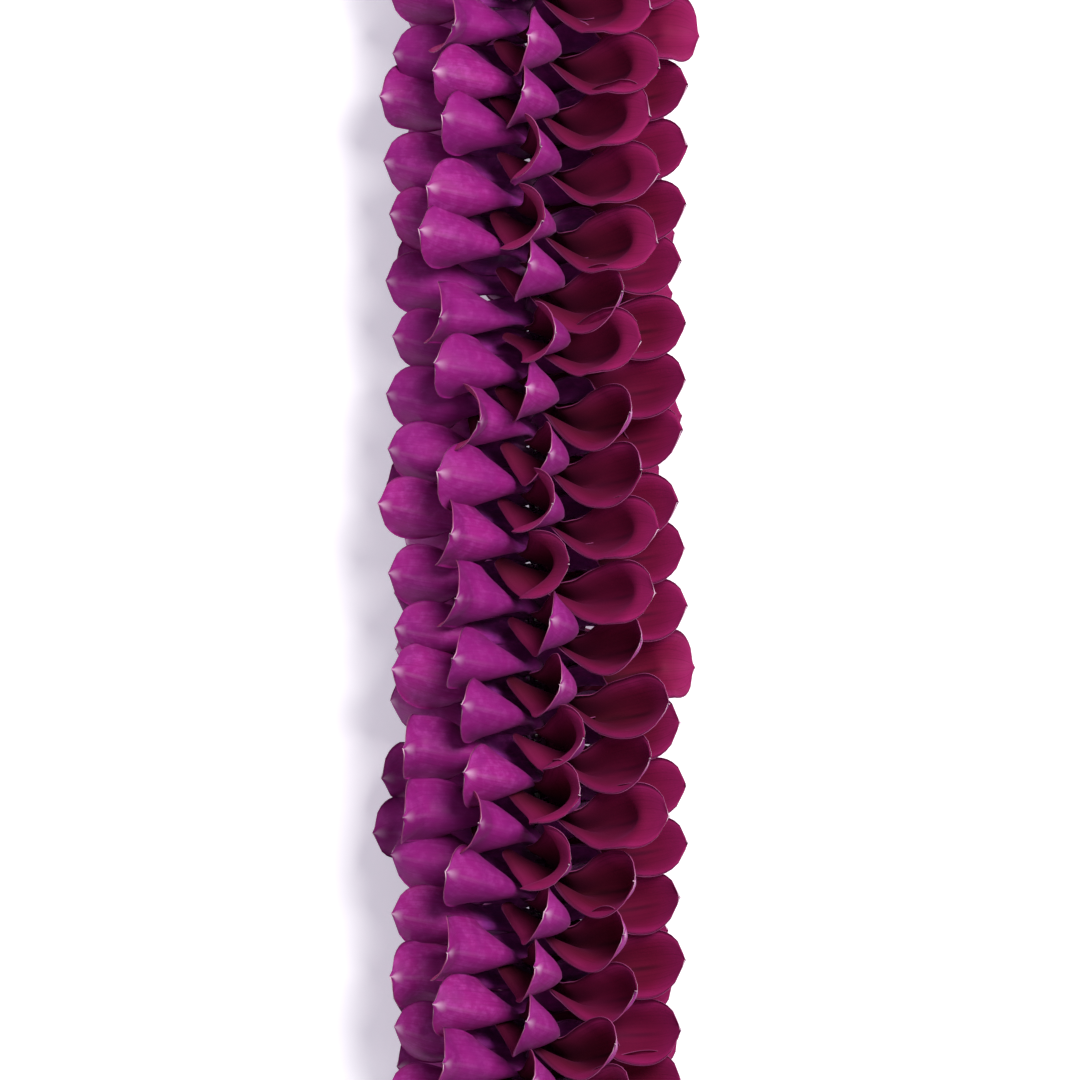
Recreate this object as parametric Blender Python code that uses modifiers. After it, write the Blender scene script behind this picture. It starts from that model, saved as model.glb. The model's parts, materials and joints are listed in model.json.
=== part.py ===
"""A straight length of fresh flower lei: orchid lips strung on one thread.

The thread lies along Y, the surface it rests on is z = 0, and every length is in metres.
Each lip is threaded through its folded claw, stands out from the thread like the vane of
a pinwheel, and is turned 80 degrees from the one strung before it. Nine lips in a row
therefore fill nine columns round the thread, and the tenth stands above the first.
"""

from math import cos, pi, radians, sin

import bmesh
import bpy
from mathutils import Matrix, Vector

NAME = "fresh_flower_lei"

# Stringing
COLUMNS = 9
TURN_PER_LIP = radians(80)
FIRST_COLUMN = radians(93)
PITCH = 0.0093
STEP = PITCH / COLUMNS
GROUPS = 21
GAP = 0.0003

# One lip: thin, folded along its midline, hooked towards the inner face at the tip
LIP_THICKNESS = 0.0007
LIP_TILT = radians(17)
LIP_STATIONS = (
    # reach from the thread, bulge to the back, half width over the flank, fold in degrees
    (0.0018, 0.0000, 0.0003, 0),
    (0.0095, 0.0026, 0.0052, 58),
    (0.0180, 0.0032, 0.0072, 44),
    (0.0243, -0.0006, 0.0022, 30),
)

# The stack of pierced claws round the thread, and the thread itself
CLAW_STACK_RADIUS = 0.0026
CLAW_STACK_LENGTH = PITCH - 3 * GAP
CLAW_STACK_SIDES = 10
THREAD_RADIUS = 0.0005
THREAD_SIDES = 8
KNOT_RADIUS = 0.0017
KNOT_LENGTH = 0.0026

# The lowest lips are pressed flat by the lei's own weight
REST_DEPTH = 0.0216
FLAT_TRIM = 0.0005


def clear_scene():
    for item in list(bpy.data.objects):
        bpy.data.objects.remove(item, do_unlink=True)


def new_collection(name):
    collection = bpy.data.collections.new(name)
    bpy.context.scene.collection.children.link(collection)
    return collection


def new_material(name, colour, roughness):
    material = bpy.data.materials.new(name)
    material.use_nodes = True
    shader = material.node_tree.nodes["Principled BSDF"]
    shader.inputs["Base Color"].default_value = (*colour, 1.0)
    shader.inputs["Roughness"].default_value = roughness
    shader.inputs["Metallic"].default_value = 0.0
    return material


def add_object(name, mesh, collection):
    item = bpy.data.objects.new(name, mesh)
    collection.objects.link(item)
    return item


def as_cutter(item):
    item.hide_render = True
    item.display_type = "WIRE"
    return item


def cylinder_mesh(name, radius, length, sides):
    """A cylinder along Y, centred on the origin."""
    shape = bmesh.new()
    bmesh.ops.create_cone(
        shape,
        cap_ends=True,
        segments=sides,
        radius1=radius,
        radius2=radius,
        depth=length,
        matrix=Matrix.Rotation(pi / 2, 4, "X"),
    )
    mesh = bpy.data.meshes.new(name)
    shape.to_mesh(mesh)
    shape.free()
    return mesh


def lip_point(station, across):
    """Reach, turn and advance of one point of a lip, before it is set round the thread."""
    reach, bulge, half_width, fold = LIP_STATIONS[station]
    before = LIP_STATIONS[max(station - 1, 0)]
    after = LIP_STATIONS[min(station + 1, len(LIP_STATIONS) - 1)]
    along = Vector((after[0] - before[0], before[1] - after[1])).normalized()
    rise = half_width * abs(across) * sin(radians(fold))
    turn = -bulge + rise * along.x
    advance = half_width * across * cos(radians(fold))
    return Vector((
        reach - rise * along.y,
        turn * cos(LIP_TILT) - advance * sin(LIP_TILT),
        advance * cos(LIP_TILT) + turn * sin(LIP_TILT),
    ))


def strung(point, angle, height):
    """Set a lip point round the thread, pressed up where it would pass the rest plane."""
    floor = -REST_DEPTH + LIP_THICKNESS / 2
    return Vector((
        point.x * cos(angle) - point.y * sin(angle),
        point.z + height,
        max(point.x * sin(angle) + point.y * cos(angle), floor),
    ))


def lip_sheet(shape, angle, height):
    """Add one open lip surface, two faces wide, to the group's mesh."""
    last = len(LIP_STATIONS) - 1
    made = bmesh.ops.create_grid(shape, x_segments=last, y_segments=2, size=1.0)
    for corner in made["verts"]:
        station = round((corner.co.x + 1) / 2 * last)
        across = round(corner.co.y)
        corner.co = strung(lip_point(station, across), angle, height)


def lips_of_group(collection):
    shape = bmesh.new()
    for order in range(COLUMNS):
        angle = FIRST_COLUMN + order * TURN_PER_LIP
        height = (order - (COLUMNS - 1) / 2) * -STEP
        lip_sheet(shape, angle, height)
    mesh = bpy.data.meshes.new("lips")
    shape.to_mesh(mesh)
    shape.free()
    lips = add_object("lips", mesh, collection)
    wall = lips.modifiers.new("wall", "SOLIDIFY")
    wall.thickness = LIP_THICKNESS
    wall.offset = 0.0
    return as_cutter(lips)


def add_boolean(item, operation, other):
    step = item.modifiers.new(other.name, "BOOLEAN")
    step.operation = operation
    step.solver = "EXACT"
    step.use_self = True
    step.object = other


def finished_mesh(item, name):
    """The object's mesh with its modifiers applied."""
    graph = bpy.context.evaluated_depsgraph_get()
    mesh = bpy.data.meshes.new_from_object(item.evaluated_get(graph))
    mesh.name = name
    return mesh


def lip_group_mesh(cutters, material):
    """Nine lips and the stack of their pierced claws, as one body."""
    stack_mesh = cylinder_mesh(
        "claw_stack", CLAW_STACK_RADIUS, CLAW_STACK_LENGTH, CLAW_STACK_SIDES
    )
    stack = as_cutter(add_object("claw_stack", stack_mesh, cutters))
    bore_mesh = cylinder_mesh("bore", THREAD_RADIUS + GAP, 2 * PITCH, THREAD_SIDES)
    bore = as_cutter(add_object("bore", bore_mesh, cutters))

    shape = bmesh.new()
    bmesh.ops.create_cube(shape, size=4 * REST_DEPTH)
    surface_mesh = bpy.data.meshes.new("surface")
    shape.to_mesh(surface_mesh)
    shape.free()
    surface = as_cutter(add_object("surface", surface_mesh, cutters))
    surface.location.z = FLAT_TRIM - 3 * REST_DEPTH

    add_boolean(stack, "UNION", lips_of_group(cutters))
    add_boolean(stack, "DIFFERENCE", bore)
    add_boolean(stack, "DIFFERENCE", surface)
    mesh = finished_mesh(stack, "lip_group")
    mesh.materials.clear()
    mesh.materials.append(material)
    return mesh


def thread_mesh(cutters, material):
    """The thread with a knot at each end, tight against the claws."""
    length = GROUPS * PITCH + KNOT_LENGTH
    thread = as_cutter(
        add_object(
            "thread_line",
            cylinder_mesh("thread_line", THREAD_RADIUS, length, THREAD_SIDES),
            cutters,
        )
    )
    for side in (-1, 1):
        shape = bmesh.new()
        bmesh.ops.create_uvsphere(
            shape, u_segments=THREAD_SIDES, v_segments=6, radius=KNOT_RADIUS
        )
        knot_mesh = bpy.data.meshes.new("knot")
        shape.to_mesh(knot_mesh)
        shape.free()
        knot = as_cutter(add_object("knot", knot_mesh, cutters))
        knot.rotation_euler.x = pi / 2
        knot.scale.z = KNOT_LENGTH / 2 / KNOT_RADIUS
        knot.location.y = side * (GROUPS * PITCH + KNOT_LENGTH) / 2
        add_boolean(thread, "UNION", knot)
    mesh = finished_mesh(thread, "thread")
    mesh.materials.clear()
    mesh.materials.append(material)
    for face in mesh.polygons:
        face.use_smooth = True
    return mesh


def middle(mesh):
    """The middle of a mesh's bounding box."""
    low = Vector(min(v.co[i] for v in mesh.vertices) for i in range(3))
    high = Vector(max(v.co[i] for v in mesh.vertices) for i in range(3))
    return (low + high) / 2


def build():
    clear_scene()
    lei = new_collection(NAME)
    cutters = new_collection("cutters")
    lip = new_material("lip", (0.22, 0.012, 0.10), 0.6)
    cotton = new_material("thread", (0.78, 0.76, 0.72), 0.85)

    group = lip_group_mesh(cutters, lip)
    centre = middle(group)
    axis = Vector((-centre.x, -centre.y, REST_DEPTH - FLAT_TRIM))
    for order in range(GROUPS):
        item = add_object(f"lip_group_{order + 1:02d}", group, lei)
        item.location = axis + Vector((0, ((GROUPS - 1) / 2 - order) * PITCH, 0))
    thread = add_object("thread", thread_mesh(cutters, cotton), lei)
    thread.location = axis


build()
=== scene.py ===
"""The fresh flower lei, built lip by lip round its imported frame.

A lip is first shaped in its own terms: reach out from the thread, turn round it and advance
along it. It is then set round the thread at its place in the stringing.
"""

import json
import math
import random

import bpy
import numpy as np
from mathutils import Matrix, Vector

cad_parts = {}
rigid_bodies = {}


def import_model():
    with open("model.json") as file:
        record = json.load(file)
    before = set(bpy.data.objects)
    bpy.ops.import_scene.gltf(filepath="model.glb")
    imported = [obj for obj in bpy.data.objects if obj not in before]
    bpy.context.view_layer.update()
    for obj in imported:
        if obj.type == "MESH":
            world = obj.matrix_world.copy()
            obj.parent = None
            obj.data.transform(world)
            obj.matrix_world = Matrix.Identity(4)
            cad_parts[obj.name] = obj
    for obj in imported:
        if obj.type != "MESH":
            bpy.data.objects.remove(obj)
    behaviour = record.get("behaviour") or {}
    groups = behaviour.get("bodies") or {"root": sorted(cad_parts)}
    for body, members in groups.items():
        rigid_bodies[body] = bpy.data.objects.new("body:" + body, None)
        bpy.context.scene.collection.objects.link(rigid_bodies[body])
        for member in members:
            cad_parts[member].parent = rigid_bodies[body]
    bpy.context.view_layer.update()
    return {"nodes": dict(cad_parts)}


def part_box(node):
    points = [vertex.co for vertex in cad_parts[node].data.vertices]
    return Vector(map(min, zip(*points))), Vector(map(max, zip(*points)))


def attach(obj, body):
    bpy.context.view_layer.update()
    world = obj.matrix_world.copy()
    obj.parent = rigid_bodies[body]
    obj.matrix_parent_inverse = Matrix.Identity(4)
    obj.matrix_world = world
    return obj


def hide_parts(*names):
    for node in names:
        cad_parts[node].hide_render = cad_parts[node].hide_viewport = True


MM = 0.001
SEED = 20

# Stringing, as in the CAD model
COLUMNS = 9
TURN_PER_LIP = math.radians(80)
FIRST_COLUMN = math.radians(93)
PITCH = 9.3 * MM

# How far the columns are twisted from true: everywhere, and round two places along the lei
COLUMN_TWIST_DEGREES = 1.5
COLUMN_BENDS = (
    # middle, spread, twist in degrees
    (-33 * MM, 24 * MM, -14),
    (13 * MM, 8 * MM, -6),
)

# One lip. Each row of a table holds the part of the lip's length, then the value there.
LIP_LENGTH = 27.4 * MM
HALF_WIDTH_MM = (
    (0.00, 3.2), (0.06, 5.2), (0.13, 7.6), (0.21, 9.4), (0.29, 10.7), (0.37, 11.0),
    (0.46, 9.9), (0.58, 9.1), (0.70, 8.9), (0.80, 8.8), (1.00, 8.4),
)
SLOPE_DEGREES = (
    (0.00, -24), (0.16, -24), (0.30, -18), (0.42, -8), (0.54, 0), (0.66, 12),
    (0.78, 25), (0.90, 34), (1.00, 39),
)
FOLD_DEGREES = (
    (0.00, 89), (0.30, 88), (0.42, 88), (0.52, 87), (0.62, 84), (0.72, 78), (0.82, 67),
    (0.92, 54), (1.00, 42),
)
KEEL_RADIUS_MM = (
    (0.00, 1.0), (0.14, 1.3), (0.26, 0.42), (0.32, 0.43), (0.43, 1.0), (0.53, 2.1),
    (0.64, 2.9), (1.00, 2.9),
)
# Turn of the lip about its own length
TWIST_DEGREES = (
    (0.00, 24), (0.07, 42), (0.15, 48), (0.22, 32), (0.29, 21), (0.38, 18), (0.50, 15),
    (0.62, 14), (1.00, 14),
)
# Advance towards +Y for each unit of reach
LEAN = 0.09
# Reach and turn of the keel at the end of the claw
CLAW_START = -1.1 * MM
KEEL_START = -0.8 * MM

# The blunt end of the blade, and the small point on it
BLUNT_START = 0.60
BLUNT_LENGTH = 0.388
BLUNTNESS = 3.2
POINT_HALF_WIDTH = 0.45 * MM
LEAST_HALF_WIDTH = 0.06 * MM

# The flank towards +Y is the narrower one, so that its rim clears the lip above it
UPPER_LOBE = 0.70
UPPER_BLADE = 0.83
LOWER_LOBE = 1.00
LOWER_BLADE = 0.95
RIM_FLARE = math.radians(14)

# Some tips are creased sharply back, and the others only bend a little
CREASED_SHARE = 0.32
CREASE_DEGREES = (-58, -36)
CREASE_LENGTH = 0.04
BEND_DEGREES = (-10, 8)
BEND_LENGTH = 0.14

# Thickness of a lip, and how the lowest lips are pressed on the surface
HALF_THICKNESS = 0.12 * MM
FLOOR_CLEARANCE = 0.22 * MM
PRESS_DEPTH = 2.0 * MM

# Fineness of a lip's mesh, and of the sums behind it
ROWS = 32
ACROSS = 21
TIP_CROWDING = 1.25
FINE = 241
EASE_WINDOW = 17
FLANK_STEPS = 60
PROBE = 0.1 * MM

# The thread
STRANDS = 3
STRAND_RADIUS = 0.25 * MM
STRAND_OFFSET = 0.24 * MM
STRAND_STEP = 0.35 * MM
STRAND_SIDES = 6
TWIST_LENGTH = 3.2 * MM
KNOT_CORD_RADIUS = 0.42 * MM
KNOT_POINTS = 96
KNOT_SIDES = 8

# Surface, light and camera
TABLE_HALF_SIZE = 3.0
KEY_OFFSET = Vector((0.33, 0.34, 0.95))
KEY_SIZE = 0.42
KEY_POWER = 13.2
KEY_COLOUR = (1.0, 0.985, 0.96)
ROOM_COLOUR = (0.93, 0.91, 1.0, 1)
ROOM_STRENGTH = 0.38
CAMERA_DISTANCE = 1.5
CAMERA_SHIFT = 0.45 * MM
SENSOR_WIDTH = 36
WIDTH_SEEN = 174.2 * MM

# Sockets of a Mix node that carry colours, which share their names with its other sockets
MIX_A = 6
MIX_B = 7
MIX_RESULT = 2


def smooth(low, high, x):
    """From 0 at low to 1 at high, level at both ends."""
    t = np.clip((x - low) / (high - low), 0.0, 1.0)
    return t * t * (3 - 2 * t)


# ---------------------------------------------------------------- shape of a lip


def lip_form(rng):
    """What makes one lip differ from the next."""
    creased = rng.random() < CREASED_SHARE
    hook_degrees = CREASE_DEGREES if creased else BEND_DEGREES
    return {
        "size": rng.gauss(1.0, 0.03),
        "width": rng.gauss(1.0, 0.03),
        "curve": rng.gauss(1.0, 0.10),
        "hook": math.radians(rng.uniform(*hook_degrees)),
        "hook_at": rng.uniform(0.76, 0.84),
        "hook_over": CREASE_LENGTH if creased else BEND_LENGTH,
        "fold": rng.gauss(1.0, 0.05),
        "fold_bias": rng.gauss(0.05, 0.04),
        "twist": math.radians(rng.gauss(0, 2.2)),
        "lean": LEAN + rng.gauss(0, 0.035),
        "ripple": rng.uniform(0.08, 0.30) * MM,
        "ripple_count": rng.uniform(1.5, 3.0),
        "ripple_phase": rng.uniform(0, 2 * math.pi),
        "turn": math.radians(rng.gauss(0, 2.2)),
        "shift": rng.gauss(0, 0.27) * MM,
        "tone": rng.random(),
    }


def eased(table, s):
    """A table's value at s, rounded off between its rows."""
    fine = np.linspace(0, 1, FINE)
    value = np.interp(fine, *np.array(table, float).T)
    window = np.full(EASE_WINDOW, 1 / EASE_WINDOW)
    for _ in range(2):
        padded = np.pad(value, EASE_WINDOW // 2, mode="reflect", reflect_type="odd")
        value = np.convolve(padded, window, mode="valid")
    return np.interp(s, fine, value)


def half_width(s, form):
    """From the keel to the rim: a narrow claw, broad side lobes, a blunt blade and its point."""
    body = eased(HALF_WIDTH_MM, s) * form["width"] * MM
    close = np.clip((s - BLUNT_START) / BLUNT_LENGTH, 0.0, 1.0)
    point = POINT_HALF_WIDTH * (1 - smooth(0.965, 1.0, s)) * smooth(0.80, 0.95, s)
    return body * np.sqrt(1 - close**BLUNTNESS) + point + LEAST_HALF_WIDTH


def midline(form):
    """Reach, turn and slope of the keel on a fine spacing."""
    s = np.linspace(0, 1, FINE)
    hook = form["hook"] * smooth(form["hook_at"], form["hook_at"] + form["hook_over"], s)
    slope = np.radians(eased(SLOPE_DEGREES, s)) * form["curve"] + hook
    step = LIP_LENGTH * form["size"] / (FINE - 1)
    reach = CLAW_START + np.concatenate([[0], np.cumsum(np.cos(slope[:-1]))]) * step
    turn = KEEL_START + np.concatenate([[0], np.cumsum(np.sin(slope[:-1]))]) * step
    return s, reach, turn, slope


def flank(s, width, fold):
    """Sideways and upward run of one flank from keel to rim, for each row."""
    part = np.linspace(0, 1, FLANK_STEPS)
    run = part * width[:, None]
    keel = eased(KEEL_RADIUS_MM, s)[:, None] * MM
    flare = RIM_FLARE * smooth(0.7, 1.0, part)
    angle = fold[:, None] * (1 - np.exp(-run / keel)) - flare
    step = width[:, None] / (FLANK_STEPS - 1)
    side = np.cumsum(np.cos(angle), axis=1) * step
    rise = np.cumsum(np.sin(angle), axis=1) * step
    return part, side - side[:, :1], rise - rise[:, :1]


def cross_sections(along, across, form):
    """How far each point of a lip lies sideways from its keel, and how far above it."""
    width = half_width(along, form)
    blade = smooth(0.35, 0.6, along)
    fold = np.radians(eased(FOLD_DEGREES, along)) * (1 + (form["fold"] - 1) * blade)
    side = np.zeros((ROWS, ACROSS))
    rise = np.zeros((ROWS, ACROSS))
    flanks = ((-1, LOWER_LOBE, LOWER_BLADE), (1, UPPER_LOBE, UPPER_BLADE))
    for sign, at_lobe, at_blade in flanks:
        share = at_lobe + (at_blade - at_lobe) * smooth(0.42, 0.60, along)
        bias = 1 + sign * form["fold_bias"] * blade
        part, sideways, upward = flank(along, width * share, fold * bias)
        own = np.nonzero(across * sign >= 0)[0]
        place = np.abs(across[own])
        for row in range(ROWS):
            side[row, own] = sign * np.interp(place, part, sideways[row])
            rise[row, own] = np.interp(place, part, upward[row])
    phase = 2 * math.pi * form["ripple_count"] * along[:, None] + form["ripple_phase"] + across
    ripple = form["ripple"] * np.sin(phase) * np.abs(across) ** 2
    return side, rise + ripple * smooth(0.3, 0.5, along)[:, None]


def lip_sheet(form):
    """Mid-surface of a lip as rows of (reach, turn, advance), with s and v of each point."""
    along = 1 - (1 - np.linspace(0, 1, ROWS)) ** TIP_CROWDING
    across = np.linspace(-1, 1, ACROSS)
    side, rise = cross_sections(along, across, form)
    fine, keel_reach, keel_turn, keel_slope = midline(form)
    slope = np.interp(along, fine, keel_slope)[:, None]
    reach = np.interp(along, fine, keel_reach)[:, None] - rise * np.sin(slope)
    turn = np.interp(along, fine, keel_turn)[:, None] + rise * np.cos(slope)
    lean = form["lean"] * (reach - CLAW_START)
    twist = (form["twist"] + np.radians(eased(TWIST_DEGREES, along)))[:, None]
    points = np.stack(
        [
            reach,
            turn * np.cos(twist) - side * np.sin(twist),
            lean + side * np.cos(twist) + turn * np.sin(twist),
        ],
        axis=-1,
    )
    s = np.repeat(along[:, None], ACROSS, 1)
    v = np.repeat(across[None, :], ROWS, 0)
    return points, s, v


def set_round_thread(points, angle, place, axis):
    """From reach, turn and advance to the row frame, pressed where the surface is."""
    x = axis.x + points[..., 0] * math.cos(angle) - points[..., 1] * math.sin(angle)
    z = axis.z + points[..., 0] * math.sin(angle) + points[..., 1] * math.cos(angle)
    y = place + points[..., 2]
    above = z - FLOOR_CLEARANCE
    pressed = PRESS_DEPTH * np.exp(np.minimum(above - PRESS_DEPTH, 0) / PRESS_DEPTH)
    z = FLOOR_CLEARANCE + np.where(above < PRESS_DEPTH, pressed, above)
    return np.stack([x, y, z], axis=-1)


def unit(vectors):
    """The same directions, one long."""
    return vectors / np.maximum(np.linalg.norm(vectors, axis=-1, keepdims=True), 1e-12)


def boundary():
    """Rows and columns of the points round the edge of the sheet, and of their inner neighbours."""
    last_row, last_column = ROWS - 1, ACROSS - 1
    loop = [(i, 0) for i in range(ROWS)]
    loop += [(last_row, j) for j in range(1, ACROSS)]
    loop += [(i, last_column) for i in range(last_row - 1, -1, -1)]
    loop += [(0, j) for j in range(last_column - 1, 0, -1)]
    inside = [
        (min(max(i, 1), last_row - 1), min(max(j, 1), last_column - 1)) for i, j in loop
    ]
    return tuple(np.array(loop).T), tuple(np.array(inside).T)


def half_thickness(s, v):
    """Thicker in the claw and along the midline, thinner towards the rim."""
    claw = 0.7 * (1 - smooth(0.1, 0.35, s))
    midrib = 0.4 * np.exp(-((v / 0.12) ** 2))
    return HALF_THICKNESS * (1 + claw + midrib) * (1 - 0.35 * np.abs(v) ** 4)


def shell_faces(loop, flip):
    """Quads of the inner face, the back and the band round the rim, and each one's slot."""
    count = ROWS * ACROSS
    grid = np.arange(count).reshape(ROWS, ACROSS)
    corners = [grid[:-1, :-1], grid[1:, :-1], grid[1:, 1:], grid[:-1, 1:]]
    quads = np.stack(corners, axis=-1).reshape(-1, 4)
    inner = grid[loop]
    back = inner + count
    rim = 2 * count + np.arange(len(inner))
    after = np.roll(np.arange(len(inner)), -1)
    upper = np.stack([rim, rim[after], inner[after], inner], axis=-1)
    lower = np.stack([back, back[after], rim[after], rim], axis=-1)
    if flip:
        quads = quads[:, ::-1]
    else:
        upper, lower = upper[:, ::-1], lower[:, ::-1]
    faces = np.concatenate([quads, quads[:, ::-1] + count, upper, lower])
    slots = np.repeat([0, 1, 2], [len(quads), len(quads), 2 * len(inner)])
    return faces, slots


def lip_solid(form, angle, place, axis):
    """Points, faces, material slots, uv and tone of one lip as a thin closed solid."""
    sheet, s, v = lip_sheet(form)
    mid = set_round_thread(sheet, angle, place, axis)
    normal = unit(np.cross(np.gradient(mid, axis=0), np.gradient(mid, axis=1)))
    inward = set_round_thread(sheet + [0, PROBE, 0], angle, place, axis) - mid
    flip = np.sum(normal * inward) < 0
    if flip:
        normal = -normal
    half = half_thickness(s, v)
    inner = mid + normal * half[..., None]
    back = mid - normal * half[..., None]
    loop, inside = boundary()
    outward = unit(mid[loop] - mid[inside])
    rim = mid[loop] + outward * half[loop][:, None] * 0.8

    faces, slots = shell_faces(loop, flip)
    points = np.concatenate([inner.reshape(-1, 3), back.reshape(-1, 3), rim])
    uv = np.stack([s, (v + 1) / 2], axis=-1)
    uv = np.concatenate([uv.reshape(-1, 2), uv.reshape(-1, 2), uv[loop]])
    return points, faces, slots, uv, np.full(len(points), form["tone"])


def lips_mesh(name, lips, materials):
    """Several lips, each a closed body of its own, in one mesh."""
    points, faces, slots, uv, tone = zip(*lips)
    starts = np.cumsum([0] + [len(own) for own in points[:-1]])
    faces = np.concatenate([own + start for own, start in zip(faces, starts)])
    points, slots, uv, tone = map(np.concatenate, (points, slots, uv, tone))
    mesh = bpy.data.meshes.new(name)
    mesh.from_pydata(points.tolist(), [], faces.tolist())
    for material in materials:
        mesh.materials.append(material)
    mesh.polygons.foreach_set("material_index", slots.astype(np.int32))
    mesh.polygons.foreach_set("use_smooth", np.ones(len(faces), bool))
    layer = mesh.uv_layers.new(name="petal")
    corners = np.zeros(len(mesh.loops), np.int32)
    mesh.loops.foreach_get("vertex_index", corners)
    layer.data.foreach_set("uv", uv[corners].ravel())
    layer = mesh.attributes.new("tone", "FLOAT", "POINT")
    layer.data.foreach_set("value", tone.astype(np.float32))
    mesh.update()
    return mesh


# ---------------------------------------------------------------- materials


class Nodes:
    """A Principled material and short names for the nodes that feed it."""

    def __init__(self, name):
        self.material = bpy.data.materials.new(name)
        self.material.use_nodes = True
        self.tree = self.material.node_tree
        self.shader = self.tree.nodes["Principled BSDF"]
        self.space = self.new("ShaderNodeTexCoord").outputs["Object"]

    def new(self, kind, **settings):
        node = self.tree.nodes.new(kind)
        for key, value in settings.items():
            setattr(node, key, value)
        return node

    def join(self, source, target):
        self.tree.links.new(source, target)

    def feed(self, socket, value):
        if isinstance(value, bpy.types.NodeSocket):
            self.join(value, socket)
        else:
            socket.default_value = value

    def math(self, operation, *values):
        node = self.new("ShaderNodeMath", operation=operation)
        for socket, value in zip(node.inputs, values):
            self.feed(socket, value)
        return node.outputs[0]

    def span(self, value, low, high, start=0.0, end=1.0):
        """From start where value is low to end where it is high, level at both ends."""
        node = self.new("ShaderNodeMapRange", interpolation_type="SMOOTHSTEP")
        for socket, number in zip(node.inputs, (value, low, high, start, end)):
            self.feed(socket, number)
        return node.outputs[0]

    def mix(self, factor, a, b):
        """Colour a where factor is 0, and colour b where it is 1."""
        node = self.new("ShaderNodeMix", data_type="RGBA")
        self.feed(node.inputs["Factor"], factor)
        for socket, colour in ((MIX_A, a), (MIX_B, b)):
            made = isinstance(colour, bpy.types.NodeSocket)
            self.feed(node.inputs[socket], colour if made else (*colour, 1))
        return node.outputs[MIX_RESULT]

    def noise(self, vector, scale, detail=3.0, roughness=0.55):
        node = self.new("ShaderNodeTexNoise")
        self.join(vector, node.inputs["Vector"])
        node.inputs["Scale"].default_value = scale
        node.inputs["Detail"].default_value = detail
        node.inputs["Roughness"].default_value = roughness
        return node.outputs["Fac"]

    def scaled(self, vector, scale):
        node = self.new("ShaderNodeMapping")
        self.join(vector, node.inputs["Vector"])
        node.inputs["Scale"].default_value = scale
        return node.outputs["Vector"]

    def bump(self, height, strength, distance):
        node = self.new("ShaderNodeBump")
        self.join(height, node.inputs["Height"])
        node.inputs["Strength"].default_value = strength
        node.inputs["Distance"].default_value = distance
        self.join(node.outputs["Normal"], self.shader.inputs["Normal"])

    def set(self, **values):
        """Feed the shader's sockets, in whose names a space stands for each underscore."""
        for name, value in values.items():
            self.feed(self.shader.inputs[name.replace("_", " ")], value)


class PetalNodes(Nodes):
    """Adds s from claw to tip, distance from the midline, vein lines and the lip's tone."""

    def __init__(self, name):
        super().__init__(name)
        self.uv = self.new("ShaderNodeUVMap", uv_map="petal").outputs["UV"]
        parts = self.new("ShaderNodeSeparateXYZ")
        self.join(self.uv, parts.inputs[0])
        self.along = parts.outputs["X"]
        centred = self.math("MULTIPLY_ADD", parts.outputs["Y"], 2.0, -1.0)
        self.off = self.math("ABSOLUTE", centred)

    def veins(self):
        return self.noise(self.scaled(self.uv, (1.1, 34, 1)), 1.0, 2.0, 0.6)

    def toned(self, colour, share, other):
        """A colour drawn towards another one, by up to share, on some lips more than others."""
        tone = self.new("ShaderNodeAttribute", attribute_name="tone").outputs["Fac"]
        return self.mix(self.span(tone, 0.0, 1.0, 0.0, share), colour, other)

    def petal_bump(self, veins, grain_scale):
        grain = self.noise(self.space, grain_scale, 2.0)
        height = self.math("ADD", self.math("MULTIPLY", veins, 0.8), grain)
        self.bump(height, 0.35, 0.08 * MM)


def inner_material():
    """Velvety crimson inner face, with painted shade: maroon in its cupped middle, nearly black
    along its keel and dark towards the claw. It turns pinker towards the rim and tip, partly
    painted light.
    """
    n = PetalNodes("lip_inner")
    along, off, veins = n.along, n.off, n.veins()
    # Pinker and lighter towards the rim and tip: partly the lip's own colour and partly painted
    # light where the curled rim faces the light.
    edge = n.math("MAXIMUM", n.span(off, 0.45, 1.0), n.span(along, 0.72, 1.0))
    blade = n.mix(edge, (0.225, 0.0065, 0.046), (0.275, 0.0130, 0.104))
    # Painted shade: the middle of the cupped inner face is darkened towards maroon.
    cup_shade = n.math("MULTIPLY", n.span(off, 0.75, 0.25), n.span(along, 1.0, 0.72))
    cup_shaded = n.mix(n.math("MULTIPLY", cup_shade, 0.55), blade, (0.085, 0.006, 0.018))
    # Painted shade: the inner face darkens to a near-black maroon towards the claw, deep among the
    # lips.
    claw_end_shaded = n.mix(n.span(along, 0.30, 0.80), (0.062, 0.006, 0.015), cup_shaded)
    # Painted shade along the keel: a broad dark fold and a nearly black line, where the flanks rise
    # on either side.
    crease = n.math("MULTIPLY", n.span(off, 0.16, 0.0), n.span(along, 0.70, 0.45))
    keel_line_shade = n.math("MULTIPLY", n.span(off, 0.085, 0.01), n.span(along, 0.88, 0.66, 0.0, 0.85))
    keel_shaded = n.mix(n.math("MAXIMUM", crease, keel_line_shade), claw_end_shaded, (0.030, 0.004, 0.009))
    mottle = n.noise(n.space, 260.0, 4.0)
    mottled = n.mix(n.span(mottle, 0.3, 0.7, 0.0, 0.22), keel_shaded, (0.110, 0.002, 0.020))
    veined = n.mix(n.span(veins, 0.48, 0.70, 0.0, 0.48), mottled, (0.085, 0.003, 0.020))
    n.set(
        Base_Color=n.toned(veined, 0.22, (0.300, 0.012, 0.110)),
        Roughness=n.span(mottle, 0.2, 0.8, 0.58, 0.72),
        Sheen_Weight=0.10,
        Sheen_Roughness=0.45,
        Sheen_Tint=(0.85, 0.10, 0.45, 1),
        Specular_IOR_Level=0.06,
    )
    n.petal_bump(veins, 2600.0)
    return n.material


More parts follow.
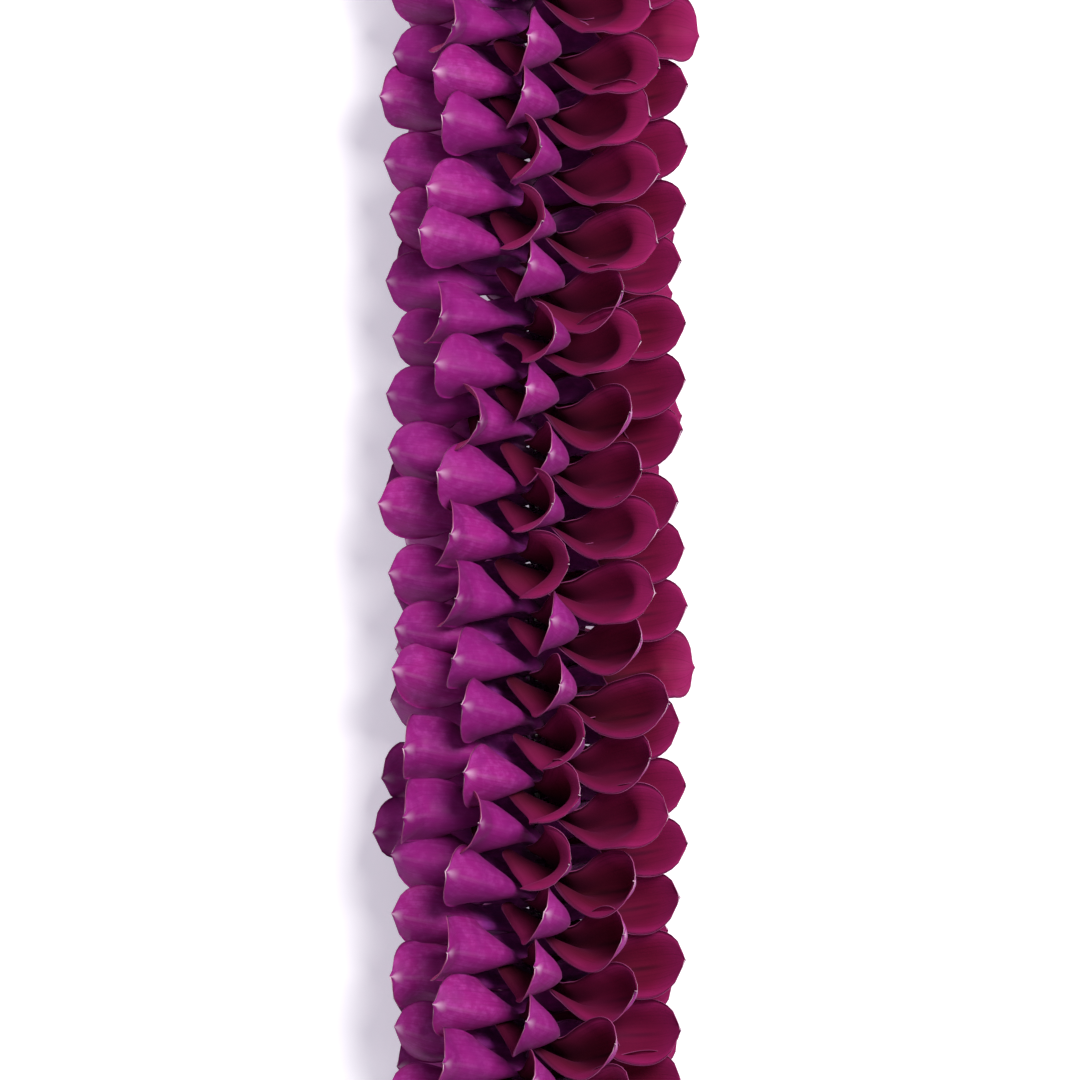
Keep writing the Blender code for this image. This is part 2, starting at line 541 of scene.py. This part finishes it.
def back_material():
    """Silky magenta back, violet towards the claw, with painted shade on its sides and round the
    claw, a pale spot at the tip, and a faint pale streak along the midrib that is partly a painted
    highlight.
    """
    n = PetalNodes("lip_back")
    along, off, veins = n.along, n.off, n.veins()
    body = n.mix(n.span(along, 0.34, 0.52), (0.230, 0.030, 0.280), (0.300, 0.013, 0.190))
    # Painted shade: both sides of the back are darkened, where its curve turns away from the light.
    side_shaded = n.mix(n.span(off, 0.55, 1.0, 0.0, 0.55), body, (0.240, 0.009, 0.128))
    # Pale at the very base; the dark violet round the claw is partly the lip's colour and partly
    # painted shade, deep among the lips.
    claw_tint_and_shade = n.mix(n.span(along, 0.02, 0.16), (0.420, 0.260, 0.400), (0.110, 0.014, 0.110))
    claw_tinted_and_shaded = n.mix(n.span(along, 0.20, 0.44), claw_tint_and_shade, side_shaded)
    cloud = n.noise(n.space, 210.0, 3.0)
    clouded = n.mix(n.span(cloud, 0.40, 0.66, 0.0, 0.50), claw_tinted_and_shaded, (0.205, 0.014, 0.165))
    mottle = n.noise(n.space, 620.0, 5.0, 0.65)
    mottled = n.mix(n.span(mottle, 0.42, 0.72, 0.0, 0.50), clouded, (0.460, 0.060, 0.360))
    veined = n.mix(n.span(veins, 0.46, 0.68, 0.0, 0.50), mottled, (0.210, 0.008, 0.125))
    point = n.math("MULTIPLY", n.span(off, 0.26, 0.0), n.span(along, 0.90, 0.99, 0.0, 0.9))
    # A faint pale streak along the midrib, partly a pale vein and partly a painted highlight; the
    # pale spot at the point is the lip's own colour.
    midrib = n.math("MULTIPLY", n.span(off, 0.09, 0.0), n.span(along, 0.60, 0.95, 0.0, 0.10))
    mark_and_highlight = n.math("MULTIPLY", n.math("MAXIMUM", point, midrib), 0.8)
    marked_and_highlit = n.mix(mark_and_highlight, veined, (0.740, 0.470, 0.660))
    n.set(
        Base_Color=n.toned(marked_and_highlit, 0.45, (0.215, 0.010, 0.160)),
        Roughness=n.span(mottle, 0.2, 0.8, 0.44, 0.60),
        Sheen_Weight=0.08,
        Sheen_Roughness=0.4,
        Sheen_Tint=(0.95, 0.35, 0.85, 1),
        Specular_IOR_Level=0.10,
    )
    n.petal_bump(veins, 2200.0)
    return n.material


def rim_material():
    """Thin pink edge of the blade, pale at its point, and dull violet round the claw, partly
    painted shade.
    """
    n = PetalNodes("lip_rim")
    mottle = n.noise(n.space, 700.0, 3.0)
    pink = n.mix(mottle, (0.230, 0.020, 0.115), (0.400, 0.095, 0.240))
    pointed = n.mix(n.span(n.along, 0.975, 0.998), pink, (0.720, 0.460, 0.600))
    n.set(
        # Dull violet round the claw: partly the lip's colour and partly painted shade deep among
        # the lips.
        Base_Color=n.mix(n.span(n.along, 0.12, 0.46), (0.140, 0.030, 0.120), pointed),
        Roughness=n.span(mottle, 0.2, 0.8, 0.45, 0.6),
        Specular_IOR_Level=0.10,
    )
    return n.material


def thread_material():
    """Matt off-white cotton, its fibres drawn out along the lei."""
    n = Nodes("cotton_thread")
    fibres = n.noise(n.scaled(n.space, (6, 1, 6)), 900.0, 4.0)
    n.set(
        Base_Color=n.mix(fibres, (0.62, 0.58, 0.54), (0.88, 0.86, 0.83)),
        Roughness=n.span(fibres, 0.2, 0.8, 0.75, 0.95),
    )
    n.bump(fibres, 0.5, 0.05 * MM)
    return n.material


def floor_material():
    """Plain white, with a faint glow that keeps the shadow as pale as the photograph's."""
    n = Nodes("white_table")
    grain = n.noise(n.space, 40.0, 3.0)
    n.set(
        Base_Color=n.mix(grain, (0.90, 0.90, 0.91), (0.92, 0.92, 0.93)),
        Roughness=0.7,
        Specular_IOR_Level=0.2,
        Emission_Color=(0.90, 0.86, 1.0, 1),
        Emission_Strength=0.42,
    )
    return n.material


# ---------------------------------------------------------------- the object


def place_piece(name, mesh, nodes):
    piece = bpy.data.objects.new(name, mesh)
    bpy.context.scene.collection.objects.link(piece)
    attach(piece, "root")
    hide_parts(*nodes)


def wander(y):
    """How far the columns are twisted from true at y, as a hand-strung lei's are."""
    degrees = COLUMN_TWIST_DEGREES
    for middle, spread, twist in COLUMN_BENDS:
        degrees += twist * math.exp(-(((y - middle) / spread) ** 2))
    return math.radians(degrees)


def string_lips(frame):
    """Nine lips for each of the CAD model's groups. Returns the middle of the thread."""
    rng = random.Random(SEED)
    materials = [inner_material(), back_material(), rim_material()]
    groups = sorted(name for name in frame["nodes"] if name.startswith("lip_group"))
    low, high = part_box("thread")
    axis = (low + high) / 2
    for group_order, group in enumerate(groups):
        centre = axis.y + ((len(groups) - 1) / 2 - group_order) * PITCH
        lips = []
        for order in range(COLUMNS):
            form = lip_form(rng)
            place = centre - (order - (COLUMNS - 1) / 2) * PITCH / COLUMNS
            angle = FIRST_COLUMN + order * TURN_PER_LIP + wander(place) + form["turn"]
            lips.append(lip_solid(form, angle, place + form["shift"], axis))
        name = f"lips_{group_order + 1:02d}"
        place_piece(name, lips_mesh(name, lips, materials), [group])
    return axis


def tube(path, radius, sides, closed):
    """Vertices and faces of a round tube along a path."""
    path = np.asarray(path)
    if closed:
        tangent = np.roll(path, -1, 0) - np.roll(path, 1, 0)
    else:
        tangent = np.gradient(path, axis=0)
    tangent = unit(tangent)
    side = np.zeros_like(path)
    guess = np.array([0.3, 0.2, 0.9])
    for i, direction in enumerate(tangent):
        guess = guess - direction * guess.dot(direction)
        guess /= np.linalg.norm(guess)
        side[i] = guess
    other = np.cross(tangent, side)
    turn = np.linspace(0, 2 * math.pi, sides, endpoint=False)
    ring = (
        path[:, None, :]
        + radius * np.cos(turn)[None, :, None] * side[:, None, :]
        + radius * np.sin(turn)[None, :, None] * other[:, None, :]
    )
    count = len(path)
    faces = []
    for i in range(count if closed else count - 1):
        for j in range(sides):
            a, b = i * sides, (i + 1) % count * sides
            k = (j + 1) % sides
            faces.append([a + j, a + k, b + k, b + j])
    if not closed:
        faces.append(list(range(sides))[::-1])
        faces.append([(count - 1) * sides + j for j in range(sides)])
    return ring.reshape(-1, 3), faces


def mesh_of(name, parts, material):
    """One mesh of several sets of points and faces."""
    mesh = bpy.data.meshes.new(name)
    points, faces = [], []
    for part_points, part_faces in parts:
        base = len(points)
        points += part_points.tolist()
        faces += [[base + k for k in face] for face in part_faces]
    mesh.from_pydata(points, [], faces)
    mesh.materials.append(material)
    mesh.polygons.foreach_set("use_smooth", np.ones(len(faces), bool))
    mesh.update()
    return mesh


def twisted_strands(axis, start, end):
    """The strands of the thread, each a tube wound round the thread's middle."""
    y = np.arange(start, end, STRAND_STEP)
    strands = []
    for strand in range(STRANDS):
        turn = 2 * math.pi * (y / TWIST_LENGTH + strand / STRANDS)
        x = axis.x + STRAND_OFFSET * np.cos(turn)
        z = axis.z + STRAND_OFFSET * np.sin(turn)
        path = np.stack([x, y, z], axis=-1)
        strands.append(tube(path, STRAND_RADIUS, STRAND_SIDES, False))
    return strands


def knot_path(axis, y, radius):
    """A trefoil, the form of an overhand knot, round the end of the thread."""
    t = np.linspace(0, 2 * math.pi, KNOT_POINTS, endpoint=False)
    loop = np.stack(
        [
            np.sin(t) + 2 * np.sin(2 * t),
            -1.35 * np.sin(3 * t),
            np.cos(t) - 2 * np.cos(2 * t),
        ],
        axis=-1,
    )
    return loop * ((radius - KNOT_CORD_RADIUS) / 3) + [axis.x, y, axis.z]


def make_thread(axis):
    """Three twisted strands through every claw, and a knot at each end."""
    material = thread_material()
    low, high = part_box("thread")
    knot_radius = (high.x - low.x) / 2
    ends = (low.y + knot_radius, high.y - knot_radius)
    strands = mesh_of("thread_strands", twisted_strands(axis, *ends), material)
    place_piece("thread_strands", strands, ["thread"])
    for number, end in enumerate(ends):
        name = f"knot_{number + 1}"
        cord = tube(knot_path(axis, end, knot_radius), KNOT_CORD_RADIUS, KNOT_SIDES, True)
        place_piece(name, mesh_of(name, [cord], material), ["thread"])


# ---------------------------------------------------------------- surface, light and camera


def make_floor():
    size = TABLE_HALF_SIZE
    mesh = bpy.data.meshes.new("table_top")
    corners = [(-size, -size, 0), (size, -size, 0), (size, size, 0), (-size, size, 0)]
    mesh.from_pydata(corners, [], [(0, 1, 2, 3)])
    mesh.materials.append(floor_material())
    floor = bpy.data.objects.new("table_top", mesh)
    bpy.context.scene.collection.objects.link(floor)


def make_light(axis):
    """A soft room, and one round light high up on the right, towards the photograph's top."""
    world = bpy.data.worlds.new("soft_room")
    world.use_nodes = True
    background = world.node_tree.nodes["Background"]
    background.inputs["Color"].default_value = ROOM_COLOUR
    background.inputs["Strength"].default_value = ROOM_STRENGTH
    bpy.context.scene.world = world

    light = bpy.data.lights.new("key", "AREA")
    light.shape = "DISK"
    light.size = KEY_SIZE
    light.energy = KEY_POWER
    light.color = KEY_COLOUR
    position = axis + KEY_OFFSET
    lamp = bpy.data.objects.new("key", light)
    lamp.location = position
    lamp.rotation_mode = "QUATERNION"
    lamp.rotation_quaternion = (axis - position).to_track_quat("-Z", "Y")
    bpy.context.scene.collection.objects.link(lamp)


def make_camera(axis):
    """Looks straight down on the lei, along the photograph's line of sight."""
    data = bpy.data.cameras.new("camera")
    data.sensor_width = SENSOR_WIDTH
    data.lens = SENSOR_WIDTH * CAMERA_DISTANCE / WIDTH_SEEN
    data.clip_start = 0.01
    camera = bpy.data.objects.new("camera", data)
    camera.location = (axis.x + CAMERA_SHIFT, axis.y, axis.z + CAMERA_DISTANCE)
    bpy.context.scene.collection.objects.link(camera)
    bpy.context.scene.camera = camera


for item in list(bpy.data.objects):
    bpy.data.objects.remove(item, do_unlink=True)
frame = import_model()
lei_axis = string_lips(frame)
make_thread(lei_axis)
make_floor()
make_light(lei_axis)
make_camera(lei_axis)
bpy.context.scene.view_settings.view_transform = "Standard"
